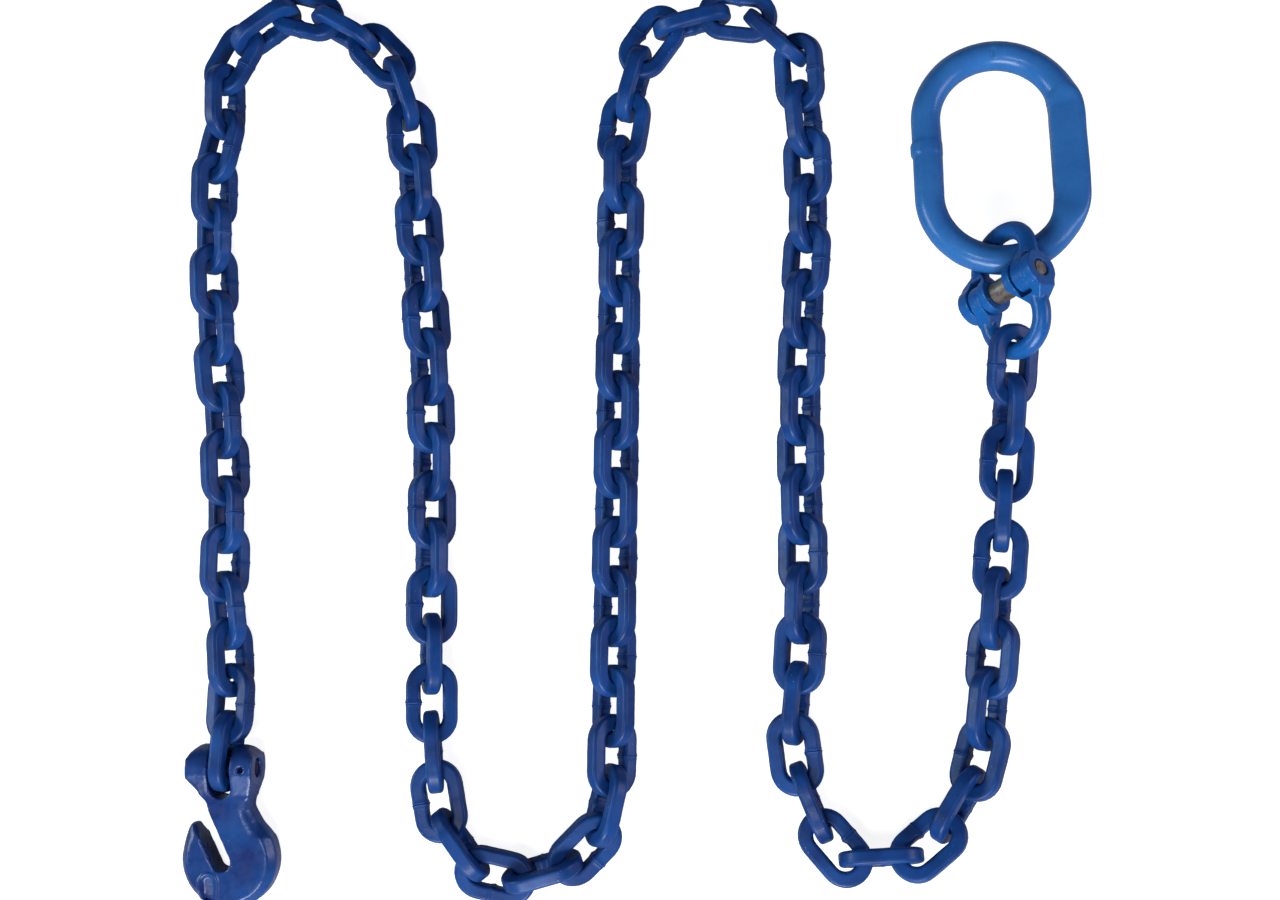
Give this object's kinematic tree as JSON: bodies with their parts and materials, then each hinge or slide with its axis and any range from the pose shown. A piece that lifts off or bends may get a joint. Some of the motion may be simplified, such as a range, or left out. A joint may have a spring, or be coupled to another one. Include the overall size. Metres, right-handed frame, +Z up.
{
  "type": "all-purpose chain sling with grab hook",
  "caption": "Single-leg lifting chain of welded links with an oblong master link, a two-part coupling link and a clevis grab hook, laid out in parallel runs.",
  "frame": {"origin": "middle of the footprint of the laid-out chain, on the floor", "axes": "+X to the right across the runs, +Y along the runs towards the master link, +Z up from the floor"},
  "size_m": [0.4698, 0.4862, 0.0496],
  "materials": {
    "chain_paint": "glossy dark blue paint on square bar",
    "hook_paint": "glossy dark blue paint on forged steel",
    "coupling_paint": "glossy blue paint on forged steel",
    "master_paint": "glossy blue paint on round bar",
    "bare_steel": "bare turned steel"
  },
  "bodies": {
    "master": {"master_link": "master_paint"},
    "upper_half": {"coupling_upper_half": "coupling_paint"},
    "lower_half": {"coupling_lower_half": "coupling_paint", "coupling_pin": "bare_steel", "coupling_sleeve": "bare_steel"},
    "links_88_89": {"links_88_89": "chain_paint"},
    "links_86_87": {"links_86_87": "chain_paint"},
    "links_84_85": {"links_84_85": "chain_paint"},
    "links_82_83": {"links_82_83": "chain_paint"},
    "links_80_81": {"links_80_81": "chain_paint"},
    "links_78_79": {"links_78_79": "chain_paint"},
    "link_77": {"link_77": "chain_paint"},
    "link_76": {"link_76": "chain_paint"},
    "links_74_75": {"links_74_75": "chain_paint"},
    "links_72_73": {"links_72_73": "chain_paint"},
    "links_70_71": {"links_70_71": "chain_paint"},
    "links_68_69": {"links_68_69": "chain_paint"},
    "links_66_67": {"links_66_67": "chain_paint"},
    "links_64_65": {"links_64_65": "chain_paint"},
    "links_62_63": {"links_62_63": "chain_paint"},
    "links_60_61": {"links_60_61": "chain_paint"},
    "link_59": {"link_59": "chain_paint"},
    "link_58": {"link_58": "chain_paint"},
    "link_57": {"link_57": "chain_paint"},
    "links_55_56": {"links_55_56": "chain_paint"},
    "links_53_54": {"links_53_54": "chain_paint"},
    "links_51_52": {"links_51_52": "chain_paint"},
    "links_49_50": {"links_49_50": "chain_paint"},
    "links_47_48": {"links_47_48": "chain_paint"},
    "links_45_46": {"links_45_46": "chain_paint"},
    "links_43_44": {"links_43_44": "chain_paint"},
    "links_41_42": {"links_41_42": "chain_paint"},
    "links_39_40": {"links_39_40": "chain_paint"},
    "link_38": {"link_38": "chain_paint"},
    "link_37": {"link_37": "chain_paint"},
    "link_36": {"link_36": "chain_paint"},
    "link_35": {"link_35": "chain_paint"},
    "links_33_34": {"links_33_34": "chain_paint"},
    "links_31_32": {"links_31_32": "chain_paint"},
    "links_29_30": {"links_29_30": "chain_paint"},
    "links_27_28": {"links_27_28": "chain_paint"},
    "links_25_26": {"links_25_26": "chain_paint"},
    "links_23_24": {"links_23_24": "chain_paint"},
    "links_21_22": {"links_21_22": "chain_paint"},
    "links_19_20": {"links_19_20": "chain_paint"},
    "link_18": {"link_18": "chain_paint"},
    "link_17": {"link_17": "chain_paint"},
    "link_16": {"link_16": "chain_paint"},
    "links_14_15": {"links_14_15": "chain_paint"},
    "links_12_13": {"links_12_13": "chain_paint"},
    "links_10_11": {"links_10_11": "chain_paint"},
    "links_08_09": {"links_08_09": "chain_paint"},
    "links_06_07": {"links_06_07": "chain_paint"},
    "links_04_05": {"links_04_05": "chain_paint"},
    "link_03": {"link_03": "chain_paint"},
    "link_02": {"link_02": "chain_paint"},
    "link_01": {"link_01": "chain_paint"},
    "hook": {"hook_body": "hook_paint", "hook_pin": "bare_steel", "hook_retaining_pin": "bare_steel"}
  },
  "joints": [
    {"name": "master_turn", "type": "hinge", "parent": "master", "child": "upper_half", "pos_m": [0.19183, 0.08637, 0.01864], "axis": [-0.9994, -0.0349, 0], "range_deg": [-4, 24]},
    {"name": "coupling_fold", "type": "hinge", "parent": "upper_half", "child": "lower_half", "pos_m": [0.19119, 0.07033, 0.02489], "axis": [-0.6141, -0.265, -0.7434], "range_deg": [-60, 60]},
    {"name": "lower_half_turn", "type": "hinge", "parent": "lower_half", "child": "links_88_89", "pos_m": [0.19375, 0.03953, 0.02204], "axis": [0.663, -0.2654, 0.7], "range_deg": [-40, 18]},
    {"name": "turn_links_86_87", "type": "hinge", "parent": "links_88_89", "child": "links_86_87", "pos_m": [0.19176, -0.00802, 0.01376], "axis": [-0.2894, 0.1981, -0.9365], "range_deg": [-25, 10]},
    {"name": "turn_links_84_85", "type": "hinge", "parent": "links_86_87", "child": "links_84_85", "pos_m": [0.18919, -0.04632, 0.01371], "axis": [0.9668, -0.0818, 0.2419], "range_deg": [-25, 25]},
    {"name": "turn_links_82_83", "type": "hinge", "parent": "links_84_85", "child": "links_82_83", "pos_m": [0.18414, -0.1042, 0.0127], "axis": [-0.4152, 0.0133, 0.9096], "range_deg": [-25, 25]},
    {"name": "turn_links_80_81", "type": "hinge", "parent": "links_82_83", "child": "links_80_81", "pos_m": [0.18115, -0.14381, 0.01291], "axis": [-0.8305, 0.2065, -0.5173], "range_deg": [-60, 15]},
    {"name": "turn_links_78_79", "type": "hinge", "parent": "links_80_81", "child": "links_78_79", "pos_m": [0.15777, -0.19692, 0.01334], "axis": [0.3467, -0.223, -0.9111], "range_deg": [-60, 5]},
    {"name": "turn_link_77", "type": "hinge", "parent": "links_78_79", "child": "link_77", "pos_m": [0.11227, -0.20991, 0.01372], "axis": [-0.0134, 0.1846, 0.9827], "range_deg": [0, 60]},
    {"name": "turn_link_76", "type": "hinge", "parent": "link_77", "child": "link_76", "pos_m": [0.10211, -0.19848, 0.01376], "axis": [-0.047, -0.0233, 0.9986], "range_deg": [-5, 60]},
    {"name": "turn_links_74_75", "type": "hinge", "parent": "link_76", "child": "links_74_75", "pos_m": [0.08882, -0.16718, 0.01387], "axis": [0.047, 0.0233, -0.9986], "range_deg": [-60, 5]},
    {"name": "turn_links_72_73", "type": "hinge", "parent": "links_74_75", "child": "links_72_73", "pos_m": [0.08903, -0.12729, 0.01362], "axis": [0.9354, -0.0487, 0.3502], "range_deg": [-45, 60]},
    {"name": "turn_links_70_71", "type": "hinge", "parent": "links_72_73", "child": "links_70_71", "pos_m": [0.09136, -0.06863, 0.01275], "axis": [-0.4431, 0.0233, 0.8962], "range_deg": [-60, 60]},
    {"name": "turn_links_68_69", "type": "hinge", "parent": "links_70_71", "child": "links_68_69", "pos_m": [0.09033, -0.02823, 0.01188], "axis": [-0.7959, -0.0096, -0.6053], "range_deg": [-60, 60]},
    {"name": "turn_links_66_67", "type": "hinge", "parent": "links_68_69", "child": "links_66_67", "pos_m": [0.09015, 0.03075, 0.01217], "axis": [0.5948, -0.001, -0.8039], "range_deg": [-60, 60]},
    {"name": "turn_links_64_65", "type": "hinge", "parent": "links_66_67", "child": "links_64_65", "pos_m": [0.09169, 0.07168, 0.01222], "axis": [0.8242, -0.0633, 0.5628], "range_deg": [-60, 60]},
    {"name": "turn_links_62_63", "type": "hinge", "parent": "links_64_65", "child": "links_62_63", "pos_m": [0.09399, 0.13059, 0.01238], "axis": [-0.5519, 0.0045, 0.8339], "range_deg": [-60, 60]},
    {"name": "turn_links_60_61", "type": "hinge", "parent": "links_62_63", "child": "links_60_61", "pos_m": [0.09043, 0.17106, 0.01278], "axis": [-0.9013, -0.0315, -0.432], "range_deg": [-60, 55]},
    {"name": "turn_link_59", "type": "hinge", "parent": "links_60_61", "child": "link_59", "pos_m": [0.06473, 0.2191, 0.01356], "axis": [0.2195, 0.248, -0.9436], "range_deg": [-5, 60]},
    {"name": "turn_link_58", "type": "hinge", "parent": "link_59", "child": "link_58", "pos_m": [0.04943, 0.22122, 0.01371], "axis": [-0.0262, 0.1079, -0.9938], "range_deg": [-5, 50]},
    {"name": "turn_link_57", "type": "hinge", "parent": "link_58", "child": "link_57", "pos_m": [0.01644, 0.21299, 0.01368], "axis": [0.0262, -0.1079, 0.9938], "range_deg": [-60, 5]},
    {"name": "turn_links_55_56", "type": "hinge", "parent": "link_57", "child": "links_55_56", "pos_m": [0.00744, 0.20061, 0.01409], "axis": [-0.1175, 0.0238, 0.9928], "range_deg": [-60, 5]},
    {"name": "turn_links_53_54", "type": "hinge", "parent": "links_55_56", "child": "links_53_54", "pos_m": [-0.00475, 0.14337, 0.01353], "axis": [-0.9627, 0.1365, -0.2334], "range_deg": [-25, 60]},
    {"name": "turn_links_51_52", "type": "hinge", "parent": "links_53_54", "child": "links_51_52", "pos_m": [-0.00356, 0.10337, 0.01285], "axis": [0.5501, 0.0211, -0.8348], "range_deg": [-60, 60]},
    {"name": "turn_links_49_50", "type": "hinge", "parent": "links_51_52", "child": "links_49_50", "pos_m": [-0.0036, 0.04475, 0.01158], "axis": [0.766, -0.0109, 0.6427], "range_deg": [-60, 60]},
    {"name": "turn_links_47_48", "type": "hinge", "parent": "links_49_50", "child": "links_47_48", "pos_m": [-0.00355, 0.00378, 0.01152], "axis": [-0.6528, -0.0009, 0.7576], "range_deg": [-60, 60]},
    {"name": "turn_links_45_46", "type": "hinge", "parent": "links_47_48", "child": "links_45_46", "pos_m": [-0.00355, -0.05521, 0.01145], "axis": [-0.7547, 0.0008, -0.6561], "range_deg": [-60, 60]},
    {"name": "turn_links_43_44", "type": "hinge", "parent": "links_45_46", "child": "links_43_44", "pos_m": [-0.00355, -0.09618, 0.01139], "axis": [0.6659, 0.0009, -0.7461], "range_deg": [-60, 60]},
    {"name": "turn_links_41_42", "type": "hinge", "parent": "links_43_44", "child": "links_41_42", "pos_m": [-0.00351, -0.15516, 0.01112], "axis": [0.7431, -0.0054, 0.6691], "range_deg": [-60, 35]},
    {"name": "turn_links_39_40", "type": "hinge", "parent": "links_41_42", "child": "links_39_40", "pos_m": [-0.00967, -0.2034, 0.0154], "axis": [0.5443, -0.0448, 0.8377], "range_deg": [-5, 60]},
    {"name": "turn_link_38", "type": "hinge", "parent": "links_39_40", "child": "link_38", "pos_m": [-0.04416, -0.22573, 0.01363], "axis": [-0.1883, -0.9666, -0.1736], "range_deg": [-40, 0]},
    {"name": "turn_link_37", "type": "hinge", "parent": "link_38", "child": "link_37", "pos_m": [-0.06838, -0.2211, 0.01411], "axis": [0.0528, 0.0316, -0.9981], "range_deg": [-60, 10]},
    {"name": "turn_link_36", "type": "hinge", "parent": "link_37", "child": "link_36", "pos_m": [-0.08931, -0.19431, 0.01385], "axis": [-0.0528, -0.0316, 0.9981], "range_deg": [-10, 60]},
    {"name": "turn_link_35", "type": "hinge", "parent": "link_36", "child": "link_35", "pos_m": [-0.09225, -0.17928, 0.01372], "axis": [0.164, 0.0189, 0.9863], "range_deg": [-10, 60]},
    {"name": "turn_links_33_34", "type": "hinge", "parent": "link_35", "child": "links_33_34", "pos_m": [-0.0958, -0.14547, 0.01366], "axis": [-0.164, -0.0189, -0.9863], "range_deg": [-60, 15]},
    {"name": "turn_links_31_32", "type": "hinge", "parent": "links_33_34", "child": "links_31_32", "pos_m": [-0.09719, -0.10577, 0.01306], "axis": [-0.8571, -0.017, 0.5149], "range_deg": [-45, 45]},
    {"name": "turn_links_29_30", "type": "hinge", "parent": "links_31_32", "child": "links_29_30", "pos_m": [-0.09921, -0.04729, 0.0113], "axis": [0.6212, 0.048, 0.7822], "range_deg": [-55, 40]},
    {"name": "turn_links_27_28", "type": "hinge", "parent": "links_29_30", "child": "links_27_28", "pos_m": [-0.10045, -0.00679, 0.01106], "axis": [0.6935, 0.0404, -0.7193], "range_deg": [-60, 60]},
    {"name": "turn_links_25_26", "type": "hinge", "parent": "links_27_28", "child": "links_25_26", "pos_m": [-0.10456, 0.05206, 0.01116], "axis": [-0.717, -0.0585, -0.6947], "range_deg": [-60, 60]},
    {"name": "turn_links_23_24", "type": "hinge", "parent": "links_25_26", "child": "links_23_24", "pos_m": [-0.10891, 0.0928, 0.01106], "axis": [-0.6899, -0.0814, 0.7193], "range_deg": [-60, 60]},
    {"name": "turn_links_21_22", "type": "hinge", "parent": "links_23_24", "child": "links_21_22", "pos_m": [-0.11514, 0.15097, 0.01246], "axis": [0.6205, 0.0384, 0.7832], "range_deg": [-45, 45]},
    {"name": "turn_links_19_20", "type": "hinge", "parent": "links_21_22", "child": "links_19_20", "pos_m": [-0.12168, 0.19094, 0.01342], "axis": [0.6914, 0.6705, -0.2689], "range_deg": [-5, 50]},
    {"name": "turn_link_18", "type": "hinge", "parent": "links_19_20", "child": "link_18", "pos_m": [-0.16809, 0.22567, 0.01405], "axis": [-0.0704, -0.1201, -0.9903], "range_deg": [-5, 60]},
    {"name": "turn_link_17", "type": "hinge", "parent": "link_18", "child": "link_17", "pos_m": [-0.18356, 0.2299, 0.01468], "axis": [0.0899, -0.107, -0.9902], "range_deg": [-5, 60]},
    {"name": "turn_link_16", "type": "hinge", "parent": "link_17", "child": "link_16", "pos_m": [-0.21141, 0.21041, 0.01426], "axis": [-0.0899, 0.107, 0.9902], "range_deg": [-55, 5]},
    {"name": "turn_links_14_15", "type": "hinge", "parent": "link_16", "child": "links_14_15", "pos_m": [-0.2189, 0.19684, 0.01514], "axis": [-0.3541, -0.0609, 0.9332], "range_deg": [-60, 15]},
    {"name": "turn_links_12_13", "type": "hinge", "parent": "links_14_15", "child": "links_12_13", "pos_m": [-0.2242, 0.13893, 0.01264], "axis": [0.8626, -0.2175, 0.4567], "range_deg": [-60, 25]},
    {"name": "turn_links_10_11", "type": "hinge", "parent": "links_12_13", "child": "links_10_11", "pos_m": [-0.22211, 0.09847, 0.01179], "axis": [0.6412, 0.0458, -0.766], "range_deg": [-60, 60]},
    {"name": "turn_links_08_09", "type": "hinge", "parent": "links_10_11", "child": "links_08_09", "pos_m": [-0.217, 0.03971, 0.01159], "axis": [-0.7618, -0.0801, -0.6428], "range_deg": [-60, 60]},
    {"name": "turn_links_06_07", "type": "hinge", "parent": "links_08_09", "child": "links_06_07", "pos_m": [-0.2116, -0.0009, 0.01159], "axis": [-0.6408, -0.0504, 0.766], "range_deg": [-60, 60]},
    {"name": "turn_links_04_05", "type": "hinge", "parent": "links_06_07", "child": "links_04_05", "pos_m": [-0.20785, -0.05976, 0.01173], "axis": [0.7652, 0.0368, 0.6428], "range_deg": [-60, 60]},
    {"name": "turn_link_03", "type": "hinge", "parent": "links_04_05", "child": "link_03", "pos_m": [-0.20415, -0.0996, 0.01218], "axis": [0.4998, 0.0276, -0.8657], "range_deg": [-25, 30]},
    {"name": "turn_link_02", "type": "hinge", "parent": "link_03", "child": "link_02", "pos_m": [-0.2006, -0.1334, 0.01315], "axis": [-0.4998, -0.0276, 0.8657], "range_deg": [-10, 30]},
    {"name": "turn_link_01", "type": "hinge", "parent": "link_02", "child": "link_01", "pos_m": [-0.20103, -0.14708, 0.01367], "axis": [-0.1043, 0.0067, 0.9945], "range_deg": [-15, 20]},
    {"name": "hook_turn", "type": "hinge", "parent": "link_01", "child": "hook", "pos_m": [-0.20234, -0.17207, 0.01371], "axis": [1, 0, 0], "range_deg": [-60, 60]}
  ]
}
